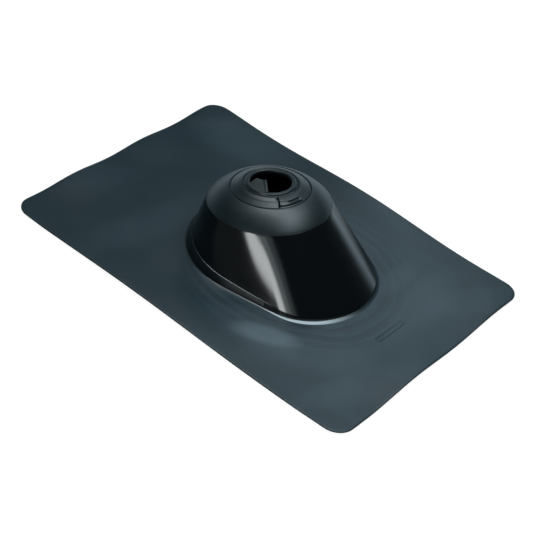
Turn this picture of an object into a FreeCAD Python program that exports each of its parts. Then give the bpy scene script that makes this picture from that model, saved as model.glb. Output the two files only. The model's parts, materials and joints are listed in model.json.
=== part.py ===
"""Pipe flashing boot: a thin roof sheet with a hollow sloping hood, and a rubber cap on the hood.

The sheet lies on a roof deck. X runs down the roof, Y across it and Z up from the deck side of the
sheet, with the origin in the middle of the sheet. The cap is a stepped dome whose rings tear away to
suit three pipe sizes. It faces slightly up the roof, so that an upright pipe passes squarely through.
"""
import FreeCAD, Part

import math
import os

# Roof sheet
SHEET_LENGTH = 400.0
SHEET_WIDTH = 291.0
SHEET_CORNER = 18.0
SHEET_THICKNESS = 1.8

# Foot of the hood: a round end up the roof and a flatter oval nose down the roof
UPHILL_CENTRE = -4.0
UPHILL_RADIUS = 78.0
NOSE_CENTRE = 59.0
NOSE_REACH = 54.5
NOSE_HALF_WIDTH = 68.0

# Walls of the hood: a low wall up to a sloping shoulder, then a long cone up to the seat of the cap
UPHILL_SHOULDER_INSET = 4.4
NOSE_SHOULDER_INSET = 2.0
SHOULDER_RISE_AT_NOSE = 1.5
SHOULDER_SLOPE = 2.9
HOOD_WALL = 2.4
OUTLINE_POINTS = 24

# Seat of the cap: a ledge round the top of the cone, tilted up the roof
CAP_TILT = 7.8
SEAT_X = -11.2
SEAT_HEIGHT = 54.6
SEAT_RADIUS = 59.5
SEAT_WIDTH = 4.8
SEAT_THICKNESS = 2.2
SEAT_CLEARANCE = 0.3

# Cap, in its own frame: depths are below its top, and radii are from the middle of its opening
CAP_HEIGHT = 21.6
CAP_WALL = 2.4
OPENING_RADIUS = 19.7
LIP_WIDTH = 4.0
LIP_THICKNESS = 3.4
LIP_CHAMFER = 0.9
SMALL_TEAR_RADIUS = 26.2
SMALL_TEAR_DEPTH = 1.6
LARGE_TEAR_RADIUS = 38.0
LARGE_TEAR_DEPTH = 6.6
TEAR_GROOVE_WIDTH = 1.6
TEAR_GROOVE_DEPTH = 1.0
STEP_RADIUS = 31.2
STEP_HEIGHT = 0.7

# Neck and bead that hold the cap in its seat
NECK_WALL = 2.4
BEAD_WIDTH = 1.5
BEAD_THICKNESS = 2.0

# Flat pull tab that reaches into the opening: angles round the opening, and reach from its rim
INNER_TAB_ROOT = (-128.0, -57.0)
INNER_TAB_TIP_ANGLES = (-165.5, -155.0)
INNER_TAB_TIP_REACHES = (4.9, 15.5)
INNER_TAB_THICKNESS = 1.4
INNER_TAB_DROP = 1.2
INNER_TAB_RIM_WIDTH = 2.0
INNER_TAB_RIM_HEIGHT = 0.7

# Raised pull tab on the ring between the tear grooves, with a finger slot in its front
OUTER_TAB_START = -34.0
OUTER_TAB_END = 3.0
OUTER_TAB_RISE = 0.4
OUTER_TAB_MARGIN = 1.0
OUTER_TAB_FRONT = 2.6
SLOT_START = -19.0
SLOT_END = -4.0
SLOT_HEIGHT = 1.6
SLOT_DEPTH = 3.0

# Notch through the ring beside the raised tab, where a tear starts
NOTCH_WIDTH = 1.8
NOTCH_DEPTH = 1.1
NOTCH_GAP = 1.6

OVERRUN = 1.0


def vector(x, y, z=0.0):
    """A point or direction in millimetres."""
    return FreeCAD.Vector(x, y, z)


def polar(radius, degrees, z=0.0):
    """A point at a radius and an angle round the Z axis."""
    angle = math.radians(degrees)
    return vector(radius * math.cos(angle), radius * math.sin(angle), z)


def seat_frame():
    """Placement of the seat: its origin is the middle of the seat and its Z axis the cap's axis."""
    turn = FreeCAD.Rotation(vector(0.0, 1.0, 0.0), -CAP_TILT)
    return FreeCAD.Placement(vector(SEAT_X, 0.0, SEAT_HEIGHT), turn)


def cap_frame():
    """Placement of the cap's own frame, whose origin is the middle of its opening."""
    lift = FreeCAD.Placement(vector(0.0, 0.0, CAP_HEIGHT), FreeCAD.Rotation())
    return seat_frame().multiply(lift)


# ---------------------------------------------------------------------------------------------
# Base: the sheet and the hood, moulded in one
# ---------------------------------------------------------------------------------------------

def foot_facing(degrees, uphill_inset, nose_inset):
    """Point of the foot's outline that faces a direction, with the two ends of the outline drawn in.

    The outline hugs a circle up the roof and an ellipse down the roof, so the point is on whichever
    of the two reaches further in that direction. Straight flanks join the two.
    """
    angle = math.radians(degrees)
    cosine = math.cos(angle)
    sine = math.sin(angle)
    radius = UPHILL_RADIUS - uphill_inset
    reach = NOSE_REACH - nose_inset
    half_width = NOSE_HALF_WIDTH - nose_inset
    nose_extent = math.hypot(reach * cosine, half_width * sine)
    if UPHILL_CENTRE * cosine + radius > NOSE_CENTRE * cosine + nose_extent:
        return vector(UPHILL_CENTRE + radius * cosine, radius * sine)
    return vector(NOSE_CENTRE + reach ** 2 * cosine / nose_extent, half_width ** 2 * sine / nose_extent)


def foot_outline(uphill_inset, nose_inset):
    """Evenly spaced points round the foot's outline, from the tip of the nose."""
    outline = Part.makePolygon([
        foot_facing(degrees, uphill_inset, nose_inset) for degrees in range(0, 361, 2)
    ])
    return outline.discretize(Number=OUTLINE_POINTS + 1)[:-1]


def smooth_loop(points):
    """One closed smooth wire through a ring of points."""
    curve = Part.BSplineCurve()
    curve.interpolate(points, PeriodicFlag=True)
    return Part.Wire(curve.toShape())


def foot_loop(height):
    """The foot's outline at one height."""
    return smooth_loop([vector(point.x, point.y, height) for point in foot_outline(0.0, 0.0)])


def shoulder_points(wall):
    """Points round the sloping shoulder, drawn in further by a wall."""
    nose = NOSE_CENTRE + NOSE_REACH
    slope = math.tan(math.radians(SHOULDER_SLOPE))
    at_nose = SHEET_THICKNESS + SHOULDER_RISE_AT_NOSE
    outline = foot_outline(UPHILL_SHOULDER_INSET + wall, NOSE_SHOULDER_INSET + wall)
    return [vector(point.x, point.y, at_nose + slope * (nose - point.x)) for point in outline]


def seat_loop(radius, depth):
    """A circle round the cap's axis, at a depth below the seat."""
    frame = seat_frame()
    turn = 360.0 / OUTLINE_POINTS
    return smooth_loop([
        frame.multVec(polar(radius, turn * index, -depth)) for index in range(OUTLINE_POINTS)
    ])


def hood_outside():
    """The hood as a solid block: foot, low wall, shoulder, and cone up to the seat."""
    return Part.makeLoft([
        foot_loop(0.0),
        foot_loop(SHEET_THICKNESS),
        smooth_loop(shoulder_points(0.0)),
        seat_loop(SEAT_RADIUS, 0.0),
    ], True, True)


def hood_inside():
    """The hollow under the hood, open through the deck side of the sheet."""
    shoulder = shoulder_points(HOOD_WALL)
    mouth = [vector(point.x, point.y, -OVERRUN) for point in shoulder]
    return Part.makeLoft([
        smooth_loop(mouth),
        smooth_loop(shoulder),
        seat_loop(SEAT_RADIUS - HOOD_WALL, SEAT_THICKNESS),
    ], True, True)


def seat_hole():
    """The round hole through the ledge that the cap's neck passes through."""
    height = SEAT_THICKNESS + 2.0 * OVERRUN
    start = vector(0.0, 0.0, -SEAT_THICKNESS - OVERRUN)
    hole = Part.makeCylinder(SEAT_RADIUS - SEAT_WIDTH, height, start)
    hole.Placement = seat_frame()
    return hole


def sheet():
    """The flat sheet with round corners."""
    corner = vector(-0.5 * SHEET_LENGTH, -0.5 * SHEET_WIDTH)
    plate = Part.makeBox(SHEET_LENGTH, SHEET_WIDTH, SHEET_THICKNESS, corner)
    upright = [edge for edge in plate.Edges if edge.BoundBox.ZLength > 0.5 * SHEET_THICKNESS]
    return plate.makeFillet(SHEET_CORNER, upright)


def roof_base():
    """The sheet and hood with the hollow and the cap's seat."""
    return sheet().fuse(hood_outside()).cut(hood_inside()).cut(seat_hole())


# ---------------------------------------------------------------------------------------------
# Cap: a stepped rubber dome with tear-away rings and two pull tabs
# ---------------------------------------------------------------------------------------------

def ring_depth(radius):
    """Depth of the ring's surface between the two tear grooves, inside its small step."""
    inner = SMALL_TEAR_RADIUS + 0.5 * TEAR_GROOVE_WIDTH
    outer = LARGE_TEAR_RADIUS - 0.5 * TEAR_GROOVE_WIDTH
    fall = LARGE_TEAR_DEPTH - SMALL_TEAR_DEPTH - STEP_HEIGHT
    return SMALL_TEAR_DEPTH + fall * (radius - inner) / (outer - inner)


def dome_circle():
    """Height of the middle of the ball that the dome is part of, and the ball's radius.

    The ball is centred on the cap's axis. It passes through the outer edge of the large tear groove
    and through the rim on the seat.
    """
    inner = LARGE_TEAR_RADIUS + 0.5 * TEAR_GROOVE_WIDTH
    drop = CAP_HEIGHT - LARGE_TEAR_DEPTH
    below_groove = (SEAT_RADIUS ** 2 - inner ** 2 + drop ** 2) / (2.0 * drop)
    return -LARGE_TEAR_DEPTH - below_groove, math.hypot(inner, below_groove)


def on_dome(radius, inset=0.0):
    """Point of the dome at a radius from the axis, or of the surface an inset inside it."""
    middle, ball = dome_circle()
    return vector(radius, 0.0, middle + math.sqrt((ball - inset) ** 2 - radius ** 2))


def dome_arc():
    """Arc of the dome's section, from the large tear groove to the rim on the seat."""
    start = LARGE_TEAR_RADIUS + 0.5 * TEAR_GROOVE_WIDTH
    middle = 0.5 * (start + SEAT_RADIUS)
    return Part.Arc(on_dome(start), on_dome(middle), on_dome(SEAT_RADIUS)).toShape()


def top_profile():
    """Edges of the cap's top from the opening to the dome: lip, tear grooves, ring and step."""
    half_groove = 0.5 * TEAR_GROOVE_WIDTH
    lip_end = OPENING_RADIUS + LIP_WIDTH
    step_depth = ring_depth(STEP_RADIUS)
    points = [
        vector(OPENING_RADIUS, 0.0, -LIP_CHAMFER),
        vector(OPENING_RADIUS + LIP_CHAMFER, 0.0, 0.0),
        vector(lip_end - LIP_CHAMFER, 0.0, 0.0),
        vector(lip_end, 0.0, -LIP_CHAMFER),
        vector(SMALL_TEAR_RADIUS - half_groove, 0.0, -SMALL_TEAR_DEPTH),
        vector(SMALL_TEAR_RADIUS, 0.0, -SMALL_TEAR_DEPTH - TEAR_GROOVE_DEPTH),
        vector(SMALL_TEAR_RADIUS + half_groove, 0.0, -SMALL_TEAR_DEPTH),
        vector(STEP_RADIUS, 0.0, -step_depth),
        vector(STEP_RADIUS + 0.5 * STEP_HEIGHT, 0.0, -step_depth - STEP_HEIGHT),
        vector(LARGE_TEAR_RADIUS - half_groove, 0.0, -LARGE_TEAR_DEPTH),
        vector(LARGE_TEAR_RADIUS, 0.0, -LARGE_TEAR_DEPTH - TEAR_GROOVE_DEPTH),
        vector(LARGE_TEAR_RADIUS + half_groove, 0.0, -LARGE_TEAR_DEPTH),
    ]
    return Part.makePolygon(points).Edges


def under_profile():
    """Edges of the rest of the section: seat face, neck, bead, and underside back to the opening.

    The underside runs straight between points that lie one wall inside the top.
    """
    neck = SEAT_RADIUS - SEAT_WIDTH - SEAT_CLEARANCE
    neck_inside = neck - NECK_WALL
    seat = -CAP_HEIGHT
    ledge = seat - SEAT_THICKNESS
    return Part.makePolygon([
        vector(SEAT_RADIUS, 0.0, seat),
        vector(neck, 0.0, seat),
        vector(neck, 0.0, ledge),
        vector(neck + BEAD_WIDTH, 0.0, ledge),
        vector(neck, 0.0, ledge - BEAD_THICKNESS),
        vector(neck_inside, 0.0, ledge - BEAD_THICKNESS),
        on_dome(neck_inside, CAP_WALL),
        on_dome(LARGE_TEAR_RADIUS, CAP_WALL),
        vector(SMALL_TEAR_RADIUS, 0.0, -SMALL_TEAR_DEPTH - CAP_WALL),
        vector(OPENING_RADIUS, 0.0, -LIP_THICKNESS),
        vector(OPENING_RADIUS, 0.0, -LIP_CHAMFER),
    ]).Edges


def cap_body():
    """The cap without its tabs, turned from its section."""
    edges = top_profile() + [dome_arc()] + under_profile()
    section = Part.Face(Part.Wire(edges))
    return section.revolve(vector(0.0, 0.0), vector(0.0, 0.0, 1.0), 360.0)


def prism(corners, bottom, thickness):
    """An upright prism on a closed loop of corners."""
    loop = [vector(corner.x, corner.y, bottom) for corner in corners]
    return Part.Face(Part.makePolygon(loop + loop[:1])).extrude(vector(0.0, 0.0, thickness))


def inner_tab():
    """The flat pull tab in the opening, with a raised rim along its free edge."""
    rooted = OPENING_RADIUS + 0.5 * LIP_WIDTH
    left_tip, right_tip = (
        polar(OPENING_RADIUS - reach, angle)
        for reach, angle in zip(INNER_TAB_TIP_REACHES, INNER_TAB_TIP_ANGLES)
    )
    left_root, right_root = (polar(rooted, angle) for angle in INNER_TAB_ROOT)
    middle_root = polar(rooted, 0.5 * sum(INNER_TAB_ROOT))
    bottom = -INNER_TAB_DROP - INNER_TAB_THICKNESS
    plate = prism([left_root, middle_root, right_root, right_tip, left_tip], bottom,
                  INNER_TAB_THICKNESS)
    free_edge = right_tip - right_root
    inward = vector(-free_edge.y, free_edge.x).normalize() * INNER_TAB_RIM_WIDTH
    rim = prism([right_root, right_tip, right_tip + inward, right_root + inward], bottom,
                INNER_TAB_THICKNESS + INNER_TAB_RIM_HEIGHT)
    lip = Part.makeCylinder(OPENING_RADIUS + LIP_CHAMFER, CAP_HEIGHT, vector(0.0, 0.0, -CAP_HEIGHT))
    return plate.fuse(rim).common(lip)


def sector(profile, start, end):
    """A solid swept round the cap's axis between two angles from points of its section."""
    face = Part.Face(Part.makePolygon(profile + profile[:1]))
    swept = face.revolve(vector(0.0, 0.0), vector(0.0, 0.0, 1.0), end - start)
    swept.rotate(vector(0.0, 0.0), vector(0.0, 0.0, 1.0), start)
    return swept


def outer_tab():
    """The raised pull tab on the ring, with its finger slot."""
    half_groove = 0.5 * TEAR_GROOVE_WIDTH
    inner = SMALL_TEAR_RADIUS + half_groove + OUTER_TAB_MARGIN
    outer = LARGE_TEAR_RADIUS - half_groove - OUTER_TAB_MARGIN
    top = -SMALL_TEAR_DEPTH + OUTER_TAB_RISE
    sunk = 0.5 * CAP_WALL
    foot = -ring_depth(outer) - STEP_HEIGHT
    block = sector([
        vector(inner, 0.0, top),
        vector(outer - OUTER_TAB_FRONT, 0.0, top),
        vector(outer, 0.0, foot),
        vector(outer, 0.0, foot - sunk),
        vector(inner, 0.0, -ring_depth(inner) - sunk),
    ], OUTER_TAB_START, OUTER_TAB_END)
    slot_top = 0.5 * (top + foot + SLOT_HEIGHT)
    slot = sector([
        vector(outer - SLOT_DEPTH, 0.0, slot_top),
        vector(outer + OVERRUN, 0.0, slot_top),
        vector(outer + OVERRUN, 0.0, slot_top - SLOT_HEIGHT),
        vector(outer - SLOT_DEPTH, 0.0, slot_top - SLOT_HEIGHT),
    ], SLOT_START, SLOT_END)
    return block.cut(slot)


def tear_notch():
    """The radial notch across the ring beside the raised tab."""
    inner = SMALL_TEAR_RADIUS
    outer = LARGE_TEAR_RADIUS - 0.5 * TEAR_GROOVE_WIDTH
    side = -0.5 * NOTCH_WIDTH
    profile = [
        vector(inner, side, OVERRUN),
        vector(outer, side, OVERRUN),
        vector(outer, side, -LARGE_TEAR_DEPTH - NOTCH_DEPTH),
        vector(inner, side, -SMALL_TEAR_DEPTH - NOTCH_DEPTH),
    ]
    notch = Part.Face(Part.makePolygon(profile + profile[:1])).extrude(vector(0.0, NOTCH_WIDTH, 0.0))
    middle_radius = 0.5 * (inner + outer)
    back_off = math.degrees((NOTCH_GAP + 0.5 * NOTCH_WIDTH) / middle_radius)
    notch.rotate(vector(0.0, 0.0), vector(0.0, 0.0, 1.0), OUTER_TAB_START - back_off)
    return notch


def pipe_cap():
    """The rubber cap with its tabs, placed on its seat."""
    cap = cap_body().fuse(inner_tab()).fuse(outer_tab()).cut(tear_notch())
    cap.Placement = cap_frame()
    return cap


def main():
    """Write one STEP file for each piece."""
    os.makedirs("parts", exist_ok=True)
    pieces = {
        "roof_base": roof_base(),
        "pipe_cap": pipe_cap(),
    }
    for name, shape in pieces.items():
        solid = shape.removeSplitter()
        box = solid.BoundBox
        solid.exportStep(f"parts/{name}.step")
        print(name, len(solid.Solids), solid.isValid(), f"{solid.Volume:.0f} mm3",
              f"z {box.ZMin:.2f} to {box.ZMax:.2f}")


main()
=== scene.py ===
"""Looks of the pipe flashing boot.

The roof sheet with its hood is one moulded piece, and the rubber cap is another. Both are modelled
here with their rounded edges, fine rings and slack, in metres and in the frame of the CAD model.
"""
import json
import logging
import math
from dataclasses import dataclass, field
from enum import Enum
from typing import Any, Optional, Sequence, Union

import bmesh
import bpy
from mathutils import Matrix, Vector


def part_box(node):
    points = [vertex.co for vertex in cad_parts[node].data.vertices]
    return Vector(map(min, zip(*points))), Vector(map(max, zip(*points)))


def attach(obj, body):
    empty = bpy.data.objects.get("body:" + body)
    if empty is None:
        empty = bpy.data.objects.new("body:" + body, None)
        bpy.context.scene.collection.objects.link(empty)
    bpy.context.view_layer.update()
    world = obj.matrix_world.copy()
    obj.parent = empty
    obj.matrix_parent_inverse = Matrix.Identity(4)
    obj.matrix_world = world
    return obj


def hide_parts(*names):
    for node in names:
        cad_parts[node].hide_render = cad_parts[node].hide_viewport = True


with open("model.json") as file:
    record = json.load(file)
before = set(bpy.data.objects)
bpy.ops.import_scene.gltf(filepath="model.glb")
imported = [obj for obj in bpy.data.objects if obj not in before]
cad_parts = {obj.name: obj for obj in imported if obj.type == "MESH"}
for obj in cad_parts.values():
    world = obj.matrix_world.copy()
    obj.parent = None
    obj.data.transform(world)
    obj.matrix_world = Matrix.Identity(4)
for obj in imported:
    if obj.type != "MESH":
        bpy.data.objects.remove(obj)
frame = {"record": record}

Mesh = bmesh.types.BMesh
Socket = bpy.types.NodeSocket
Material = bpy.types.Material
Line = list[Vector]
Pair = tuple[float, float]
Triple = tuple[float, float, float]
Places = Sequence[Vector]
Shares = Union[float, Sequence[float]]

log = logging.getLogger("flashing")
MM = 0.001
TINY = 1e-9
WHITE = (1.0, 1.0, 1.0)


class Slot(Enum):
    """Material slots of the record."""

    BASE = "base_plastic"
    CAP = "cap_rubber"


class Side(Enum):
    """Edges of the sheet: the axis that each lies across, and the way out along it."""

    UPHILL = (0, -1.0)
    DOWNHILL = (0, 1.0)
    NEAR = (1, -1.0)
    FAR = (1, 1.0)


# Shader nodes


def operator(operation: str, swapped: bool = False) -> Any:
    """Makes the method of an operator between a signal and another value.

    Args:
        operation: Operation of the Math node that the method adds.
        swapped: Whether the other value stands on the left.

    Returns:
        The method.
    """
    def method(signal: "Signal", other: Any) -> "Signal":
        """Result of the operator."""
        return signal.maths(operation, *((other, signal) if swapped else (signal, other)))

    return method


class Signal:
    """A socket that carries a value, with arithmetic that adds Math nodes."""

    __add__, __radd__ = operator("ADD"), operator("ADD", True)
    __sub__, __rsub__ = operator("SUBTRACT"), operator("SUBTRACT", True)
    __mul__, __rmul__ = operator("MULTIPLY"), operator("MULTIPLY", True)
    __truediv__, __rtruediv__ = operator("DIVIDE"), operator("DIVIDE", True)
    __pow__, __rpow__ = operator("POWER"), operator("POWER", True)

    def __init__(self, bench: "Bench", socket: Socket) -> None:
        """Wraps an output socket of a bench's node tree."""
        self.bench = bench
        self.socket = socket

    def maths(self, operation: str, *values: Any, clamp: bool = False) -> "Signal":
        """Adds one Math node.

        Args:
            operation: The node's operation.
            values: Signals or numbers for its inputs, in order.
            clamp: Whether the result is held between 0 and 1.

        Returns:
            The node's result.
        """
        settings = {"operation": operation, "use_clamp": clamp}
        node = self.bench.add("ShaderNodeMath", settings, dict(enumerate(values)))
        return Signal(self.bench, node.outputs[0])

    def absolute(self) -> "Signal":
        """Size without its sign."""
        return self.maths("ABSOLUTE", self)

    def sine(self) -> "Signal":
        """Sine of an angle in radians."""
        return self.maths("SINE", self)

    def held(self) -> "Signal":
        """This value held between 0 and 1."""
        return self.maths("ADD", self, 0.0, clamp=True)

    def between(self, low: float, high: float) -> "Signal":
        """Smooth step from 0 at one value to 1 at another, which may be the smaller."""
        share = ((self - low) / (high - low)).held()
        return share * share * (3.0 - 2.0 * share)


class Bench:
    """The node tree of one material or world, and the ways to add to it."""

    def __init__(self, owner: Any) -> None:
        """Empties the owner's node tree and adds its coordinates.

        Args:
            owner: A material or a world.
        """
        owner.use_nodes = True
        self.tree = owner.node_tree
        self.tree.nodes.clear()
        self.place = self.add("ShaderNodeTexCoord", {}, {}).outputs["Object"]

    def add(self, kind: str, settings: dict[str, Any], inputs: dict[Any, Any]) -> bpy.types.Node:
        """Adds a node, sets it up and feeds it.

        Args:
            kind: The node's type.
            settings: Properties, which are set first.
            inputs: Signals, sockets or constants by the name or number of the input.

        Returns:
            The node.
        """
        node = self.tree.nodes.new(kind)
        for name, value in settings.items():
            setattr(node, name, value)
        for name, value in inputs.items():
            self.feed(node.inputs[name], value)
        return node

    def feed(self, socket: Socket, value: Any) -> None:
        """Links or sets one input.

        Args:
            socket: The input.
            value: A signal, a socket or a constant.
        """
        if isinstance(value, Signal):
            self.tree.links.new(value.socket, socket)
        elif isinstance(value, Socket):
            self.tree.links.new(value, socket)
        elif isinstance(value, tuple) and socket.type == "RGBA":
            socket.default_value = (*value, 1.0)
        else:
            socket.default_value = value

    def signal(self, kind: str, settings: dict[str, Any], inputs: dict[Any, Any],
               output: Union[int, str] = 0) -> Signal:
        """Adds a node and takes one of its outputs as a value."""
        return Signal(self, self.add(kind, settings, inputs).outputs[output])

    def surface(self, inputs: dict[str, Any]) -> None:
        """Adds the material's surface and its output."""
        shader = self.add("ShaderNodeBsdfPrincipled", {}, inputs)
        self.add("ShaderNodeOutputMaterial", {}, {"Surface": shader.outputs[0]})

    def split(self, vector: Socket) -> tuple[Signal, ...]:
        """The three parts of a vector."""
        node = self.add("ShaderNodeSeparateXYZ", {}, {"Vector": vector})
        return tuple(Signal(self, output) for output in node.outputs)

    def moved(self, vector: Socket, origin: Triple = (0.0, 0.0, 0.0), turn: float = 0.0,
              stretch: Triple = (1.0, 1.0, 1.0)) -> Socket:
        """Coordinates read from another origin, turned and scaled.

        Args:
            vector: The coordinates.
            origin: Where the new coordinates start.
            turn: Angle round the Z axis in degrees.
            stretch: Size of one new unit along each axis.

        Returns:
            The new coordinates.
        """
        node = self.add("ShaderNodeMapping", {"vector_type": "TEXTURE"}, {
            "Vector": vector,
            "Location": origin,
            "Rotation": (0.0, 0.0, math.radians(turn)),
            "Scale": stretch,
        })
        return node.outputs["Vector"]

    def noise(self, vector: Socket, scale: float, detail: float = 2.0,
              roughness: float = 0.5) -> Signal:
        """Noise from 0 to 1."""
        inputs = {"Vector": vector, "Scale": scale, "Detail": detail, "Roughness": roughness}
        return self.signal("ShaderNodeTexNoise", {}, inputs)

    def blend(self, share: Any, first: Any, second: Any) -> Socket:
        """Mixes two colours: the first at a share of 0, and the second at a share of 1."""
        node = self.add("ShaderNodeMix", {"data_type": "RGBA"}, {0: share, 6: first, 7: second})
        return node.outputs[2]

    def bump(self, height: Signal, distance: float, strength: float = 1.0,
             under: Optional[Socket] = None) -> Socket:
        """Surface relief from a height of 0 to 1.

        Args:
            height: The height.
            distance: Depth in metres between heights 0 and 1.
            strength: Strength of the relief.
            under: Normal of the relief below, if there is one.

        Returns:
            The new normal.
        """
        inputs: dict[Any, Any] = {"Height": height, "Distance": distance, "Strength": strength}
        if under is not None:
            inputs["Normal"] = under
        return self.add("ShaderNodeBump", {}, inputs).outputs["Normal"]


# Finishes


@dataclass(frozen=True)
class SheenPatch:
    """A soft pale patch of painted sheen on the sheet."""

    x: float
    y: float
    turn: float
    length: float
    width: float
    strength: float


@dataclass(frozen=True)
class MouldedPlastic:
    """Black plastic: satin on the sheet and polished on the hood, with painted shade, painted
    sheen and a painted highlight in its colour.
    """

    name: str = "black_moulded_plastic"
    sheet_dark: Triple = (0.0040, 0.0150, 0.0210)
    sheet_pale: Triple = (0.0170, 0.0390, 0.0520)
    sheen_patch_colour: Triple = (0.0800, 0.1080, 0.1280)
    flare_highlight_colour: Triple = (0.2800, 0.3200, 0.3450)
    hood_colour: Triple = (0.0026, 0.0034, 0.0040)
    sheet_roughness: float = 0.38
    hood_roughness: float = 0.16
    patchiness: float = 0.10
    # Clouds and long streaks on the sheet: the noise that counts as dark, and the contrast
    cloud_middle: float = 0.35
    cloud_contrast: float = 1.1
    streak_middle: float = 0.5
    streak_contrast: float = 0.5
    streak_stretch: Triple = (0.35, 0.05, 0.1)
    # Painted shade: the sheet's colour darkens up the roof from the first place to the second
    uphill: Pair = (0.03, -0.12)
    uphill_painted_shade: float = 0.55
    # Arcs round the hood: radius at which they fade in and out, and rate, wander and depth of each
    arc_middle: Triple = (0.030, 0.0, 0.0)
    arc_stretch: Triple = (1.18, 1.0, 1.0)
    arc_start: Pair = (0.060, 0.072)
    arc_end: Pair = (0.125, 0.085)
    arc_waves: tuple[Triple, Triple] = ((620.0, 9.0, 0.5), (1430.0, 17.0, 0.3))
    arc_strength: float = 0.85
    # Painted highlight: a pale tone on the flare, on the near side of the foot of the nose, over
    # the real reflection there
    flare_highlight_east: Pair = (0.035, 0.065)
    flare_highlight_north: Pair = (0.000, -0.055)
    flare_highlight_start: Pair = (0.00, 0.12)
    flare_highlight_end: Pair = (0.62, 0.56)
    # Blank panel near the sheet's lower end: half sizes, width of its line and of the line's slope
    panel_middle: Triple = (0.1475, -0.0018, 0.0)
    panel_half: Pair = (0.0030, 0.0200)
    panel_line: float = 0.0009
    panel_slope: float = 0.0004
    relief: float = 0.0004
    grain: float = 0.00003
    # Pale patches of painted sheen: reach of each, least strength, and contrast with the clouds
    sheen_patch_reach: float = 1.6
    sheen_patch_least: float = 0.15
    sheen_patch_contrast: float = 1.5
    sheen_patches: tuple[SheenPatch, ...] = (
        SheenPatch(0.075, -0.095, 27.0, 0.031, 0.0125, 0.72),
        SheenPatch(0.066, -0.099, 6.0, 0.046, 0.021, 0.22),
        SheenPatch(0.108, 0.066, 95.0, 0.030, 0.012, 0.16),
        SheenPatch(0.120, -0.085, 40.0, 0.060, 0.022, 0.14),
        SheenPatch(0.172, -0.085, 70.0, 0.060, 0.018, 0.16),
        SheenPatch(0.145, 0.055, 95.0, 0.060, 0.022, 0.18),
        SheenPatch(0.175, 0.095, 60.0, 0.050, 0.020, 0.14),
        SheenPatch(-0.098, -0.060, 80.0, 0.080, 0.022, 0.10),
        SheenPatch(-0.131, 0.117, 20.0, 0.060, 0.034, 0.14),
        SheenPatch(-0.184, -0.046, 60.0, 0.040, 0.022, 0.09),
    )

    def make(self) -> Material:
        """Builds the material.

        Returns:
            The material.
        """
        material = bpy.data.materials.new(self.name)
        bench = Bench(material)
        hood = bench.signal("ShaderNodeAttribute", {"attribute_name": "hood"}, {}, "Fac")
        east, north, _ = bench.split(bench.place)
        # Painted highlight: pale colour on the flare at the nose, where the flare also catches
        # real light
        nose = east.between(*self.flare_highlight_east) * north.between(*self.flare_highlight_north)
        drawn = hood.between(*self.flare_highlight_start) * hood.between(*self.flare_highlight_end) * nose
        colour = bench.blend(hood, self._sheet_colour(bench), self.hood_colour)
        patches = bench.noise(bench.place, scale=22.0, detail=3.0, roughness=0.6)
        satin = self.sheet_roughness + (patches - 0.5) * self.patchiness
        bench.surface({
            "Base Color": bench.blend(drawn, colour, self.flare_highlight_colour),
            "Roughness": satin + (self.hood_roughness - satin) * hood,
            "Normal": self._relief(bench, hood),
            "IOR": 1.5,
        })
        return material

    def _sheet_colour(self, bench: Bench) -> Socket:
        """Colour of the sheet, with clouds, flow arcs round the hood, painted shade up the roof
        and pale patches of painted sheen.

        Args:
            bench: The material's bench.

        Returns:
            The colour.
        """
        place = bench.place
        clouds = bench.noise(place, scale=9.0, detail=4.0, roughness=0.55)
        along = bench.moved(place, stretch=self.streak_stretch)
        streaks = bench.noise(along, scale=3.0, detail=3.0)
        east = bench.split(place)[0]
        share = (clouds - self.cloud_middle) * self.cloud_contrast
        share = share + (streaks - self.streak_middle) * self.streak_contrast + self._arcs(bench)
        # Painted shade: the colour grows darker up the roof
        share = share - east.between(*self.uphill) * self.uphill_painted_shade
        body = bench.blend(share.held(), self.sheet_dark, self.sheet_pale)
        # Pale patches painted in as sheen on the satin sheet
        pale: Any = 0.0
        for sheen_patch in self.sheen_patches:
            local = bench.moved(place, (sheen_patch.x, sheen_patch.y, 0.0), sheen_patch.turn,
                                (sheen_patch.length, sheen_patch.width, 1.0))
            along, across, _ = bench.split(local)
            spread = along * along + across * across
            pale = pale + spread.between(self.sheen_patch_reach, 0.0) * sheen_patch.strength
        pale = pale * (self.sheen_patch_least + clouds * self.sheen_patch_contrast)
        return bench.blend(pale.held(), body, self.sheen_patch_colour)

    def _arcs(self, bench: Bench) -> Signal:
        """Faint arcs round the hood, left where the plastic flowed outwards.

        Args:
            bench: The material's bench.

        Returns:
            Change of the pale colour's share.
        """
        place = bench.place
        local = bench.moved(place, self.arc_middle, stretch=self.arc_stretch)
        east, north, _ = bench.split(local)
        reach = (east * east + north * north) ** 0.5
        wander = bench.noise(place, scale=14.0)
        broad, fine = [(reach * rate + wander * wobble).sine() * depth
                       for rate, wobble, depth in self.arc_waves]
        near = reach.between(*self.arc_end) * reach.between(*self.arc_start)
        patches = bench.noise(place, scale=6.0, detail=1.0)
        return (broad + fine) * near * patches * self.arc_strength

    def _blank_panel(self, bench: Bench) -> Signal:
        """Raised outline of a slender blank panel near the sheet's lower end.

        Args:
            bench: The material's bench.

        Returns:
            The height.
        """
        east, north, _ = bench.split(bench.moved(bench.place, self.panel_middle))
        plates = []
        for inset in (0.0, self.panel_line):
            short, long = (half - inset for half in self.panel_half)
            inside = east.absolute().between(short, short - self.panel_slope)
            plates.append(inside * north.absolute().between(long, long - self.panel_slope))
        return plates[0] - plates[1]

    def _relief(self, bench: Bench, hood: Signal) -> Socket:
        """Relief: the blank panel, a faint waviness, and grain on the sheet alone.

        Args:
            bench: The material's bench.
            hood: Share of the hood's finish.

        Returns:
            The normal.
        """
        grain = bench.noise(bench.place, scale=900.0, roughness=0.6)
        waviness = bench.noise(bench.place, scale=26.0, detail=1.0, roughness=0.4)
        panel = bench.bump(self._blank_panel(bench), self.relief)
        broad = bench.bump(waviness, self.relief, 0.5, panel)
        return bench.bump(grain * (1.0 - hood), self.grain, 1.0, broad)


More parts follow.
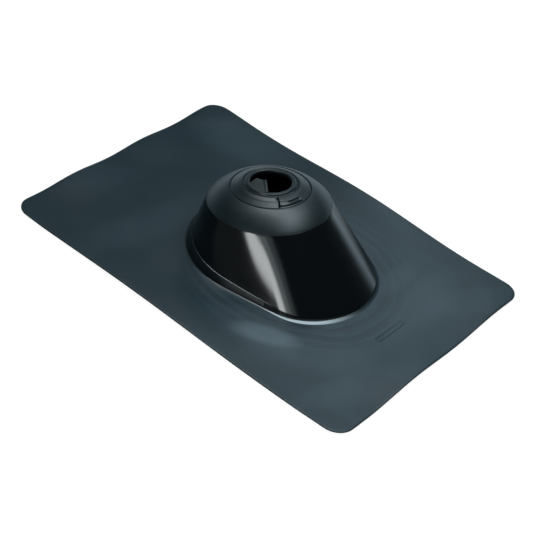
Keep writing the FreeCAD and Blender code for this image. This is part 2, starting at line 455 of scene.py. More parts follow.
@dataclass(frozen=True)
class MouldedRubber:
    """Matt black rubber with a faint bloom."""

    name: str = "black_moulded_rubber"
    dark: Triple = (0.0010, 0.0048, 0.0066)
    pale: Triple = (0.0060, 0.0125, 0.0165)
    roughness: float = 0.41
    patchiness: float = 0.15
    bloom_middle: float = 0.3
    bloom_contrast: float = 1.6
    grain: float = 0.00003

    def make(self) -> Material:
        """Builds the material.

        Returns:
            The material.
        """
        material = bpy.data.materials.new(self.name)
        bench = Bench(material)
        clouds = bench.noise(bench.place, scale=30.0, detail=4.0, roughness=0.6)
        bloom = ((clouds - self.bloom_middle) * self.bloom_contrast).held()
        grain = bench.noise(bench.place, scale=1400.0, roughness=0.6)
        bench.surface({
            "Base Color": bench.blend(bloom, self.dark, self.pale),
            "Roughness": self.roughness + (clouds - 0.5) * self.patchiness,
            "Normal": bench.bump(grain, self.grain),
            "IOR": 1.5,
        })
        return material


# Shapes


def evenly_spaced(line: Places, count: int) -> Line:
    """Points at even steps round a closed line.

    Args:
        line: Points of the line, in order; the last joins the first.
        count: Number of points wanted.

    Returns:
        The points, from the line's first.
    """
    closed = list(line) + [line[0]]
    reaches = [0.0]
    for start, end in zip(closed, closed[1:]):
        reaches.append(reaches[-1] + (end - start).length)
    places = []
    piece = 0
    for index in range(count):
        reach = reaches[-1] * index / count
        while reaches[piece + 1] < reach:
            piece += 1
        share = (reach - reaches[piece]) / max(reaches[piece + 1] - reaches[piece], TINY)
        places.append(closed[piece].lerp(closed[piece + 1], share))
    return places


def rounded(before: Vector, corner: Vector, after: Vector, back: float, ahead: float,
            steps: int) -> Line:
    """Points of a smooth turn that replaces a corner.

    Args:
        before: A point of the line that comes in.
        corner: The corner.
        after: A point of the line that goes out.
        back: How far before the corner the turn starts.
        ahead: How far past the corner it ends.
        steps: Number of steps in the turn.

    Returns:
        The points, one more than the steps.
    """
    start = corner + (before - corner).normalized() * back
    end = corner + (after - corner).normalized() * ahead
    shares = [step / steps for step in range(steps + 1)]
    return [start.lerp(corner, t).lerp(corner.lerp(end, t), t) for t in shares]


def on_ring(radius: float, degrees: float, z: float) -> Vector:
    """A point at a radius and an angle round the Z axis."""
    angle = math.radians(degrees)
    return Vector((radius * math.cos(angle), radius * math.sin(angle), z))


def round_off(mesh: Mesh, items: Sequence[Any], radius: float, segments: int,
              affect: str = "EDGES", held: bool = False) -> None:
    """Rounds edges or corners of a mesh.

    Args:
        mesh: The mesh.
        items: The edges or corners.
        radius: Distance from them at which the rounding starts.
        segments: Number of faces across it.
        affect: "EDGES" or "VERTICES".
        held: Whether the rounding is held back where it would overlap.
    """
    bmesh.ops.bevel(mesh, geom=items, offset=radius, offset_type="OFFSET", affect=affect,
                    segments=segments, profile=0.5, material=-1, clamp_overlap=held)


def put_in_scene(name: str, data: Any) -> bpy.types.Object:
    """Puts an object made of mesh, lamp or camera data into the scene."""
    bpy.context.scene.collection.objects.link(item := bpy.data.objects.new(name, data))
    return item


def mesh_data(mesh: Mesh, name: str, material: Material) -> bpy.types.Mesh:
    """Turns a finished mesh, which is freed, into mesh data with its material.

    Args:
        mesh: The finished mesh.
        name: Name of the data.
        material: Its material.

    Returns:
        The data.
    """
    data = bpy.data.meshes.new(name)
    mesh.to_mesh(data)
    mesh.free()
    data.materials.append(material)
    return data


def finish_piece(mesh: Mesh, name: str, material: Material, node: Optional[str],
                 sharp: float = 40.0) -> None:
    """Makes a finished mesh into a piece that rides on the part.

    Args:
        mesh: The finished mesh, which is freed.
        name: The piece's name.
        material: Its material.
        node: The CAD node that it stands for, if any.
        sharp: Angle in degrees above which an edge shows as a crease.
    """
    data = mesh_data(mesh, name, material)
    for face in data.polygons:
        face.use_smooth = True
    data.set_sharp_from_angle(angle=math.radians(sharp))
    piece = put_in_scene(name, data)
    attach(piece, "root")
    if node is not None:
        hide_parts(node)
    log.info("%s: %d faces", name, len(data.polygons))


class RingShell:
    """A closed shell grown ring by ring, each extruded from the last and moved into place."""

    def __init__(self, places: Places, hood: Shares) -> None:
        """Starts the shell with its first ring.

        Args:
            places: Points of the first ring.
            hood: Share of the hood's finish, for the ring or for each point.
        """
        self.mesh = bmesh.new()
        self.turn = self.mesh.verts.layers.int.new("turn")
        self.hood = self.mesh.verts.layers.float.new("hood")
        made = bmesh.ops.create_circle(self.mesh, segments=len(places), radius=1.0)
        for index, vert in enumerate(made["verts"]):
            vert[self.turn] = index
        self._settle(made["verts"], places, hood)
        self.first = list(self.mesh.edges)
        self.last = self.first

    def _settle(self, verts: Any, places: Places, hood: Shares) -> None:
        """Moves a ring's points into place.

        Args:
            verts: The ring's points.
            places: Their places, by their turn round the ring.
            hood: Share of the hood's finish, for the ring or for each point.
        """
        for vert in verts:
            vert.co = places[vert[self.turn]]
            vert[self.hood] = hood if isinstance(hood, float) else hood[vert[self.turn]]

    def grow(self, places: Places, hood: Shares) -> list[bmesh.types.BMEdge]:
        """Extrudes the last ring to new places.

        Args:
            places: Points of the new ring.
            hood: Share of the hood's finish, for the ring or for each point.

        Returns:
            The new ring's edges.
        """
        made = bmesh.ops.extrude_edge_only(self.mesh, edges=self.last)
        verts = {item for item in made["geom"] if isinstance(item, bmesh.types.BMVert)}
        self._settle(verts, places, hood)
        self.last = [
            item for item in made["geom"]
            if isinstance(item, bmesh.types.BMEdge) and set(item.verts) <= verts
        ]
        return self.last

    def grow_along(self, sections: Sequence[Places], hoods: Sequence[Shares]) -> None:
        """Grows one ring through each point of a set of sections.

        Args:
            sections: For each point of the ring, the places that it passes.
            hoods: Shares of the hood's finish, one for each ring.
        """
        for step, hood in enumerate(hoods):
            self.grow([section[step] for section in sections], hood)

    def grow_toward(self, starts: Places, ends: Places, shares: Sequence[float],
                    hood: float) -> None:
        """Grows rings at shares of the way between two lines.

        Args:
            starts: Points of the first line.
            ends: Points of the second line.
            shares: Share of the way for each ring.
            hood: Share of the hood's finish.
        """
        for share in shares:
            self.grow([start.lerp(end, share) for start, end in zip(starts, ends)], hood)

    def close(self) -> Mesh:
        """Joins the last ring to the first.

        Returns:
            The closed mesh, with its faces pointing outwards.
        """
        bmesh.ops.bridge_loops(self.mesh, edges=self.first + self.last)
        self.mesh.verts.layers.int.remove(self.mesh.verts.layers.int["turn"])
        bmesh.ops.recalc_face_normals(self.mesh, faces=self.mesh.faces)
        return self.mesh


@dataclass(frozen=True)
class EdgeWave:
    """A gentle wave along one edge of the sheet, as thin sheets have when they lie loose."""

    side: Side
    rise: float
    crest: float
    length: float
    reach: float = 50.0 * MM

    def share(self, place: Pair, half: Pair) -> Pair:
        """Weight and height of the wave at a point.

        Args:
            place: Place of the point down and across the roof.
            half: Half of the sheet's length and width.

        Returns:
            The weight, from 1 at the edge to 0 at the wave's reach, and the height.
        """
        axis, way = self.side.value
        away = min(max((half[axis] - way * place[axis]) / self.reach, 0.0), 1.0)
        phase = 2.0 * math.pi * (place[1 - axis] - self.crest) / self.length
        return 0.5 + 0.5 * math.cos(math.pi * away), self.rise * (1.0 + math.cos(phase))


@dataclass
class RoofBase:
    """The sheet and its hollow hood, moulded in one piece."""

    corner: float = 18.0 * MM
    thickness: float = 1.8 * MM
    edge_round: float = 0.5 * MM
    # Foot of the hood: a round end up the roof and an oval nose down the roof
    uphill_centre: float = -4.0 * MM
    uphill_radius: float = 78.0 * MM
    nose_centre: float = 59.0 * MM
    nose_reach: float = 54.5 * MM
    nose_half_width: float = 68.0 * MM
    middle: float = 28.0 * MM
    outline_steps: int = 720
    points: int = 480
    # Sloping shoulder and round seat
    uphill_inset: float = 4.4 * MM
    nose_inset: float = 2.0 * MM
    shoulder_rise: float = 1.5 * MM
    shoulder_slope: float = 2.9
    wall: float = 2.4 * MM
    seat_radius: float = 59.5 * MM
    seat_width: float = 4.8 * MM
    seat_thickness: float = 2.2 * MM
    seat_round: float = 0.1 * MM
    cap_height: float = 21.6 * MM
    # Wall between foot and shoulder, which runs a little up the cone where it is low
    low_wall: float = 2.6 * MM
    high_wall: float = 6.5 * MM
    low_wall_climb: float = 2.4 * MM
    # Flare at the foot of the wall: gentle where the wall is low and tight where it is high
    apron_width: float = 3.0 * MM
    hem_width: float = 0.2 * MM
    flare_margin: float = 0.2 * MM
    gentle_margin: float = 0.3 * MM
    flare_rise: float = 1.3 * MM
    gentle_sag: float = 0.32
    tight_share: float = 0.86
    tight_rise: float = 0.5 * MM
    # Share of the hood's finish up the flare; where the wall is high the whole flare is hood, and
    # its darker colour there is painted shade in the concave foot
    flare_hood: tuple[float, ...] = (0.0, 1 / 9, 2 / 9, 3 / 9, 4 / 9, 5 / 9, 1.0)
    # Ledge on top of the wall, with its outer turn and its inner one
    ledge_least: float = 0.1 * MM
    ledge_width: float = 0.55 * MM
    ledge_rise: float = 0.10 * MM
    ledge_round: float = 0.10 * MM
    ledge_dulling: float = 0.35
    turn_limit: float = 0.45
    turn_steps: int = 4
    bend_back: float = 0.25 * MM
    bend_ahead: float = 0.2 * MM
    bend_steps: int = 3
    # Places of the rings on the sheet, the cone, the cone's inside and the sheet's underside
    sheet_rings: tuple[float, ...] = (
        0.03, 0.07, 0.12, 0.18, 0.25, 0.33, 0.42, 0.52, 0.62, 0.72, 0.82, 0.91, 1.0)
    cone_rings: tuple[float, ...] = (0.1, 0.22, 0.36, 0.5, 0.64, 0.78, 0.9, 0.97)
    inside_rings: tuple[float, ...] = (0.25, 0.5, 0.75, 1.0)
    under_rings: tuple[float, ...] = (0.1, 0.2, 0.32, 0.44, 0.56, 0.68, 0.78, 0.86, 0.93, 0.97)
    waves: tuple[EdgeWave, ...] = (
        EdgeWave(Side.NEAR, 1.2 * MM, -45.0 * MM, 300.0 * MM),
        EdgeWave(Side.FAR, 2.2 * MM, 8.0 * MM, 250.0 * MM),
        EdgeWave(Side.UPHILL, 1.3 * MM, -65.0 * MM, 95.0 * MM),
        EdgeWave(Side.DOWNHILL, 1.7 * MM, -34.0 * MM, 132.0 * MM),
    )
    half_length: float = field(init=False)
    half_width: float = field(init=False)
    seat_place: Matrix = field(init=False)

    def __post_init__(self) -> None:
        """Reads the sheet's size and the seat's place from the frame."""
        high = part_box("roof_base")[1]
        self.half_length = high.x
        self.half_width = high.y
        self.seat_place = cap_place() @ Matrix.Translation((0.0, 0.0, -self.cap_height))

    def foot_line(self, uphill: float, nose: float) -> Line:
        """Even points round the hood's foot, drawn in at its two ends.

        Args:
            uphill: How far the uphill end is drawn in.
            nose: How far the nose is drawn in.

        Returns:
            The points, from the tip of the nose.
        """
        radius = self.uphill_radius - uphill
        reach = self.nose_reach - nose
        half = self.nose_half_width - nose
        line = []
        for step in range(self.outline_steps):
            angle = 2.0 * math.pi * step / self.outline_steps
            cosine, sine = math.cos(angle), math.sin(angle)
            extent = math.hypot(reach * cosine, half * sine)
            if self.uphill_centre * cosine + radius > self.nose_centre * cosine + extent:
                line.append(Vector((self.uphill_centre + radius * cosine, radius * sine, 0.0)))
            else:
                line.append(Vector((self.nose_centre + reach ** 2 * cosine / extent,
                                    half ** 2 * sine / extent, 0.0)))
        return evenly_spaced(line, self.points)

    def shoulder_line(self, inset: float) -> Line:
        """Points round the sloping shoulder.

        Args:
            inset: How much further than the shoulder itself the line is drawn in.

        Returns:
            The points.
        """
        nose = self.nose_centre + self.nose_reach
        slope = math.tan(math.radians(self.shoulder_slope))
        at_nose = self.thickness + self.shoulder_rise
        line = self.foot_line(self.uphill_inset + inset, self.nose_inset + inset)
        return [Vector((p.x, p.y, at_nose + slope * (nose - p.x))) for p in line]

    def seat_line(self, radius: float, depth: float) -> Line:
        """A circle round the cap's axis, at a depth below the seat."""
        turns = [360.0 * index / self.points for index in range(self.points)]
        return [self.seat_place @ on_ring(radius, degrees, -depth) for degrees in turns]

    def border_line(self, toward: Places) -> Line:
        """The sheet's edge, where rays from the hood's middle through some points cross it."""
        return [self._on_border(p.x - self.middle, p.y) for p in toward]

    def _on_border(self, run: float, rise: float) -> Vector:
        """Where one ray from the hood's middle crosses the sheet's edge.

        Args:
            run: The ray's way down the roof.
            rise: Its way across the roof.

        Returns:
            The crossing.
        """
        side, end = math.copysign(1.0, rise), math.copysign(1.0, run)
        scale = min(
            (end * self.half_length - self.middle) / run if abs(run) > TINY else math.inf,
            side * self.half_width / rise if abs(rise) > TINY else math.inf,
        )
        x, y = self.middle + run * scale, rise * scale
        centre = Vector((end * (self.half_length - self.corner),
                         side * (self.half_width - self.corner)))
        if (x - centre.x) * end > 0.0 and (y - centre.y) * side > 0.0:
            ray = Vector((run, rise)).normalized()
            back = Vector((self.middle, 0.0)) - centre
            half = ray.dot(back)
            reach = -half + math.sqrt(half ** 2 - back.length_squared + self.corner ** 2)
            x, y = self.middle + ray.x * reach, ray.y * reach
        return Vector((x, y, 0.0))

    def laid(self, line: Places, height: float) -> Line:
        """A flat line laid on the loose sheet.

        Args:
            line: The line's points.
            height: Their height above the sheet's underside.

        Returns:
            The points.
        """
        half = (self.half_length, self.half_width)
        places = []
        for p in line:
            shares = [wave.share((p.x, p.y), half) for wave in self.waves]
            total = sum(weight for weight, _ in shares)
            lift = sum(weight * rise for weight, rise in shares) / max(1.0, total)
            places.append(Vector((p.x, p.y, height + lift)))
        return places

    def build(self, material: Material) -> None:
        """Grows the shell from the sheet's edge over the hood and back under it.

        Args:
            material: The moulded plastic.
        """
        foot = [Vector((p.x, p.y, self.thickness)) for p in self.foot_line(0.0, 0.0)]
        ways = [Vector((p.x - self.middle, p.y, 0.0)).normalized() for p in foot]
        apron = [p + way * self.apron_width for p, way in zip(foot, ways)]
        border = self.border_line(foot)
        shell = RingShell(self.laid(border, 0.0), 0.0)
        edges = shell.first + shell.grow(self.laid(border, self.thickness), 0.0)
        for share in self.sheet_rings:
            line = [b.lerp(a, share) for b, a in zip(border, apron)]
            shell.grow(self.laid(line, self.thickness), 0.0)
        self._grow_hood(shell, foot)
        self._grow_underside(shell, border)
        mesh = shell.close()
        round_off(mesh, [edge for edge in edges if edge.is_valid], self.edge_round, 3)
        finish_piece(mesh, "roof_sheet_and_hood", material, "roof_base")

    def highness(self, foot: Vector, shoulder: Vector) -> float:
        """How high the wall is between a point of the foot and one of the shoulder.

        Args:
            foot: The point of the foot.
            shoulder: The point of the shoulder above it.

        Returns:
            Share from 0 where the wall is low to 1 where it is high.
        """
        share = (shoulder.z - foot.z - self.low_wall) / (self.high_wall - self.low_wall)
        share = min(max(share, 0.0), 1.0)
        return share * share * (3.0 - 2.0 * share)

    def flare(self, foot: Vector, top: Vector, high: float) -> Line:
        """Section of the concave flare from the sheet up to the steep wall.

        Args:
            foot: Point on the foot's outline, on top of the sheet.
            top: Top of the wall above it.
            high: Share from 0 where the wall is low to 1 where it is high.

        Returns:
            Points from the sheet to the start of the wall.
        """
        flat = Vector((foot.x - top.x, foot.y - top.y, 0.0))
        below = Vector((top.x, top.y, foot.z))
        margin = self.flare_margin + self.gentle_margin * (1.0 - high)
        start = foot + flat.normalized() * margin
        gentle_end = below + Vector((0.0, 0.0, self.flare_rise))
        gentle = start.lerp(below, 0.5) + Vector((0.0, 0.0, self.gentle_sag * self.flare_rise))
        tight = below + flat * self.tight_share
        tight_end = tight.lerp(top, self.tight_rise / (top.z - foot.z))
        base, end = gentle.lerp(tight, high), gentle_end.lerp(tight_end, high)
        last = len(self.flare_hood) - 1
        shares = [step / last for step in range(last + 1)]
        return [start.lerp(base, t).lerp(base.lerp(end, t), t) for t in shares]

    def ledge(self, foot: Vector, top: Vector, rim: Vector, below: Vector,
              high: float) -> tuple[Line, Line]:
        """Section of the ledge between the steep wall and the cone.

        Args:
            foot: Point on the foot's outline.
            top: Top of the wall above it.
            rim: Point of the seat's rim above that.
            below: Where the flare ends and the wall starts.
            high: Share from 0 where the wall is low to 1 where it is high.

        Returns:
            Points of the ledge's outer turn, and of its inner one.
        """
        out = Vector((foot.x - top.x, foot.y - top.y, 0.0)).normalized()
        half = 0.5 * (self.ledge_least + self.ledge_width * high)
        brink = top + out * half
        crease = top - out * half + Vector((0.0, 0.0, self.ledge_rise))
        back = min(self.ledge_round, self.turn_limit * (brink - below).length)
        ahead = min(self.ledge_round, self.turn_limit * (crease - brink).length)
        turn = rounded(below, brink, crease, back, ahead, self.turn_steps)
        bend = rounded(brink, crease, rim, min(self.bend_back, ahead), self.bend_ahead,
                       self.bend_steps)
        return turn, bend

    def _grow_hood(self, shell: RingShell, foot: Places) -> None:
        """Grows the flare, steep wall, ledge, cone and seat.

        Args:
            shell: The shell, grown as far as the apron round the hood.
            foot: The foot's outline on top of the sheet.
        """
        rim = self.seat_line(self.seat_radius, 0.0)
        shoulder = self.shoulder_line(0.0)
        highs = [self.highness(f, s) for f, s in zip(foot, shoulder)]
        climbs = [self.low_wall_climb * (1.0 - high) for high in highs]
        tops = [s + (r - s).normalized() * climb for s, r, climb in zip(shoulder, rim, climbs)]
        flares = [self.flare(f, t, high) for f, t, high in zip(foot, tops, highs)]
        hems = [line[0] + (f - line[2]).normalized() * self.hem_width
                for f, line in zip(foot, flares)]
        shell.grow([Vector((hem.x, hem.y, self.thickness)) for hem in hems], 0.0)
        # Where the wall is high the whole flare takes the hood's glossy black finish; the darker
        # colour there is painted shade in the concave foot
        shell.grow_along(flares, [
            [share + (1.0 - share) * high for high in highs] for share in self.flare_hood])
        ledges = [self.ledge(f, t, r, line[-1], high)
                  for f, t, r, line, high in zip(foot, tops, rim, flares, highs)]
        turns, bends = zip(*ledges)
        dulled = [1.0 - self.ledge_dulling * high for high in highs]
        shell.grow_along(turns, [dulled] * (self.turn_steps + 1))
        shell.grow_along(bends, [1.0] * (self.bend_steps + 1))
        self._grow_cone(shell, [bend[-1] for bend in bends], rim)

    def _grow_cone(self, shell: RingShell, starts: Places, rim: Places) -> None:
        """Grows the cone, its rounded rim, and the seat down to its lower face.

        Args:
            shell: The shell, grown as far as the ledge.
            starts: Lower ends of the cone.
            rim: The seat's rim.
        """
        shell.grow_toward(starts, rim, self.cone_rings, 1.0)
        hole = self.seat_radius - self.seat_width
        seat = self.seat_line(hole, 0.0)
        lips = [rounded(s, r, e, self.seat_round, self.seat_round, self.bend_steps)
                for s, r, e in zip(starts, rim, seat)]
        shell.grow_along(lips, [1.0] * (self.bend_steps + 1))
        shell.grow(seat, 1.0)
        shell.grow(self.seat_line(hole, self.seat_thickness), 1.0)

    def _grow_underside(self, shell: RingShell, border: Places) -> None:
        """Grows the hollow under the hood and the sheet's underside.

        Args:
            shell: The shell, grown as far as the seat's lower face.
            border: The sheet's edge.
        """
        top = self.seat_line(self.seat_radius - self.wall, self.seat_thickness)
        turn = self.shoulder_line(self.wall)
        shell.grow(top, 1.0)
        shell.grow_toward(top, turn, self.inside_rings, 1.0)
        mouth = [Vector((p.x, p.y, 0.0)) for p in turn]
        shell.grow(mouth, 0.5)
        for share in self.under_rings:
            line = [m.lerp(b, share) for m, b in zip(mouth, border)]
            shell.grow(self.laid(line, 0.0), 0.0)


def cap_place() -> Matrix:
    """Place of the cap's own frame: its origin is the middle of the opening, and Z is its axis.

    Returns:
        The place.
    """
    mount = next(m for m in frame["record"]["mounts"] if m["name"] == "pipe_way")
    axis = Vector(mount["axis"])
    tilt = math.atan2(axis.x, axis.z)
    return Matrix.Translation(mount["pos_m"]) @ Matrix.Rotation(tilt, 4, "Y")


@dataclass
class PipeCap:
    """The rubber cap: a dome with a lip, tear grooves, a step and two pull tabs."""

    opening: float = 19.7 * MM
    lip_width: float = 4.0 * MM
    lip_slope: float = 0.2 * MM
    lip_top: float = 0.1 * MM
    lip_foot: float = 1.9 * MM
    lip_under: float = 3.4 * MM
    lip_round: float = 1.2 * MM
    small_tear: float = 26.2 * MM
    small_depth: float = 1.6 * MM
    large_tear: float = 38.0 * MM
    large_depth: float = 6.6 * MM
    groove_inside: float = 0.9 * MM
    groove_outside: float = 0.8 * MM
    groove_depth: float = 1.0 * MM
    groove_round: float = 0.2 * MM
    shoulder_round: float = 0.3 * MM
    brim_rise: float = 0.1 * MM
    step_radius: float = 31.2 * MM
    step_height: float = 0.35 * MM
    step_rounds: Pair = (0.25 * MM, 0.15 * MM)
    height: float = 21.6 * MM
    rim: float = 59.5 * MM
    rim_round: float = 0.25 * MM
    wall: float = 2.4 * MM
    bulge: float = 1.4 * MM
    dome_round: float = 0.4 * MM
    seat_width: float = 4.8 * MM
    seat_thickness: float = 2.2 * MM
    seat_gap: float = 0.3 * MM
    bead_width: float = 1.5 * MM
    bead_height: float = 2.0 * MM
    dome_steps: int = 14
    inside_steps: int = 8
    turns: int = 360
    # Notch through the ring beside the raised tab
    notch_angle: float = -38.2
    notch_half: float = 0.95 * MM
    notch_slope: float = 0.30 * MM
    notch_depth: float = 2.2 * MM
    notch_reach: float = -7.2 * MM

    def ring_depth(self, radius: float) -> float:
        """Depth of the ring between the tear grooves, inside its step.

        Args:
            radius: Distance from the cap's axis.

        Returns:
            The depth below the cap's top.
        """
        span = self.large_tear - self.small_tear - 2.0 * self.groove_outside
        share = (radius - self.small_tear - self.groove_outside) / span
        return self.small_depth + share * (self.large_depth - self.small_depth - self.step_height)

    def dome(self, inset: float, start: float, end: float, steps: int) -> Line:
        """Points of the dome's section.

        Args:
            inset: Distance inside the outer surface.
            start: Radius of the first point.
            end: Radius of the last point.
            steps: Number of steps between them.

        Returns:
            The points in the XZ plane of the cap's frame.
        """
        first = Vector((self.large_tear + self.groove_outside, 0.0, -self.large_depth))
        last = Vector((self.rim, 0.0, -self.height))
        chord = last - first
        outward = Vector((-chord.z, 0.0, chord.x)).normalized()
        radius = (chord.length ** 2 / 4.0 + self.bulge ** 2) / (2.0 * self.bulge)
        centre = (first + last) * 0.5 - outward * (radius - self.bulge)
        places = [start + (end - start) * step / steps for step in range(steps + 1)]
        return [Vector((x, 0.0, centre.z + math.sqrt((radius - inset) ** 2 - (x - centre.x) ** 2)))
                for x in places]

    def section(self) -> list[tuple[Vector, float]]:
        """The cap's section as corners, each with the radius that rounds it.

        Returns:
            Corner and rounding, in order round the section.
        """
        lip = self.opening + self.lip_width
        step = self.ring_depth(self.step_radius)
        dome = self.large_tear + self.groove_outside
        neck = self.rim - self.seat_width - self.seat_gap
        ledge = self.height + self.seat_thickness
        bead = ledge + self.bead_height
        soft, tight = self.shoulder_round, self.groove_round
        top = [
            (self.opening, self.lip_top, self.lip_round),
            (lip, self.lip_top, self.lip_round),
            (lip + self.lip_slope, self.lip_foot, soft),
            (self.small_tear - self.groove_inside, self.small_depth, soft),
            (self.small_tear, self.small_depth + self.groove_depth, tight),
            (self.small_tear + self.groove_outside, self.small_depth, soft),
            (self.step_radius, step, self.step_rounds[0]),
            (self.step_radius + self.step_height, step + self.step_height, self.step_rounds[1]),
            (self.large_tear - self.groove_inside, self.large_depth - self.brim_rise, soft),
            (self.large_tear, self.large_depth + self.groove_depth, tight),
            (dome, self.large_depth, self.dome_round),
        ]
        neck_line = [
            (self.rim, self.height, self.rim_round), (neck, self.height, 0.0), (neck, ledge, 0.0),
            (neck + self.bead_width, ledge, 0.0), (neck, bead, 0.0), (neck - self.wall, bead, 0.0),
        ]
        under = [(self.small_tear, self.small_depth + self.wall, 0.0),
                 (self.opening, self.lip_under, soft)]
        outside = self.dome(0.0, dome, self.rim, self.dome_steps)[1:-1]
        inside = self.dome(self.wall, neck - self.wall, self.large_tear, self.inside_steps)
        top, neck_line, under = (
            [(Vector((x, 0.0, -depth)), radius) for x, depth, radius in corners]
            for corners in (top, neck_line, under)
        )
        outside, inside = ([(place, 0.0) for place in line] for line in (outside, inside))
        return top + outside + neck_line + inside + under

    def build(self, material: Material) -> None:
        """Builds the cap and its tabs.

        Args:
            material: The moulded rubber.
        """
        tab = InnerTab(self.opening)
        for mesh, name, finish, node, sharp in (
            (self._body(), "pipe_cap_body", material, "pipe_cap", 40.0),
            (tab.plate(), "inner_pull_tab", tab.dull.make(), None, 50.0),
            (tab.ridge(), "inner_tab_ridge", tab.worn.make(), None, 50.0),
            (OuterTab(self).build(), "outer_pull_tab", material, None, 50.0),
        ):
            mesh.transform(cap_place())
            finish_piece(mesh, name, finish, node, sharp)

    def _body(self) -> Mesh:
        """The cap without its tabs, spun from its section.

        Returns:
            The mesh.
        """
        mesh = bmesh.new()
        corners = self.section()
        verts = [mesh.verts.new(place) for place, _ in corners]
        for start, end in zip(verts, verts[1:] + verts[:1]):
            mesh.edges.new((start, end))
        for vert, (_, radius) in zip(verts, corners):
            if radius > 0.0:
                round_off(mesh, [vert], radius, 4, "VERTICES")
        bmesh.ops.spin(mesh, geom=list(mesh.verts) + list(mesh.edges), cent=(0, 0, 0),
                       axis=(0, 0, 1), angle=2.0 * math.pi, steps=self.turns, use_merge=True)
        bmesh.ops.remove_doubles(mesh, verts=mesh.verts, dist=1e-6)
        self._press_notch(mesh)
        bmesh.ops.recalc_face_normals(mesh, faces=mesh.faces)
        return mesh

    def _press_notch(self, mesh: Mesh) -> None:
        """Presses the radial notch beside the raised tab into the ring.

        Args:
            mesh: The spun cap.
        """
        middle = math.radians(self.notch_angle)
        for vert in mesh.verts:
            radius = math.hypot(vert.co.x, vert.co.y)
            across = abs(radius * math.sin(math.atan2(vert.co.y, vert.co.x) - middle))
            on_top = vert.co.z >= self.notch_reach and vert.co.x > 0.0
            on_ring = self.small_tear < radius < self.large_tear - self.groove_outside
            if on_top and on_ring and across < self.notch_half:
                share = min(1.0, (self.notch_half - across) / self.notch_slope)
                vert.co.z -= self.notch_depth * share


@dataclass
class InnerTab:
    """The flat pull tab that reaches into the opening, and the raised rim on its free edge."""

    opening: float
    root: float = 1.6 * MM
    root_angles: tuple[float, ...] = (*range(-128, -56, 6), -57.0)
    tip_angles: Pair = (-155.0, -165.5)
    tip_reaches: Pair = (15.5 * MM, 4.9 * MM)
    top: float = -1.2 * MM
    thickness: float = 1.4 * MM
    edge_round: float = 0.3 * MM
    ridge_size: Triple = (0.96, 2.1 * MM, 2.3 * MM)
    ridge_shift: float = 1.0 * MM
    ridge_drop: float = 1.4 * MM
    ridge_round: float = 0.7 * MM
    dull: MouldedRubber = MouldedRubber(
        "dull_tab_rubber", (0.0020, 0.0055, 0.0042), (0.0070, 0.0120, 0.0100), 0.55)
    worn: MouldedRubber = MouldedRubber(
        "worn_ridge_rubber", (0.0200, 0.0270, 0.0270), (0.0500, 0.0600, 0.0600), 0.40)

    def plate(self) -> Mesh:
        """The flat tab.

        Returns:
            The mesh.
        """
        mesh = bmesh.new()
        outline = [on_ring(self.opening + self.root, a, self.top) for a in self.root_angles]
        outline += [on_ring(self.opening - reach, angle, self.top)
                    for angle, reach in zip(self.tip_angles, self.tip_reaches)]
        plate = mesh.faces.new([mesh.verts.new(place) for place in outline])
        made = bmesh.ops.extrude_face_region(mesh, geom=[plate])
        lower = [item for item in made["geom"] if isinstance(item, bmesh.types.BMVert)]
        bmesh.ops.translate(mesh, verts=lower, vec=(0.0, 0.0, -self.thickness))
        bmesh.ops.recalc_face_normals(mesh, faces=mesh.faces)
        round_off(mesh, list(mesh.edges), self.edge_round, 2, held=True)
        return mesh

    def ridge(self) -> Mesh:
        """The raised rim.

        Returns:
            The mesh.
        """
        mesh = bmesh.new()
        root = on_ring(self.opening + self.root, self.root_angles[-1], 0.0)
        tip = on_ring(self.opening - self.tip_reaches[0], self.tip_angles[0], 0.0)
        run = tip - root
        bmesh.ops.create_cube(mesh, size=1.0)
        side = Vector((-run.y, run.x, 0.0)).normalized() * self.ridge_shift
        share, width, height = self.ridge_size
        mesh.transform(
            Matrix.Translation((root + tip) * 0.5 + side - Vector((0.0, 0.0, self.ridge_drop)))
            @ Matrix.Rotation(math.atan2(run.y, run.x), 4, "Z")
            @ Matrix.Diagonal((run.length * share, width, height, 1.0))
        )
        round_off(mesh, list(mesh.edges), self.ridge_round, 3, held=True)
        return mesh


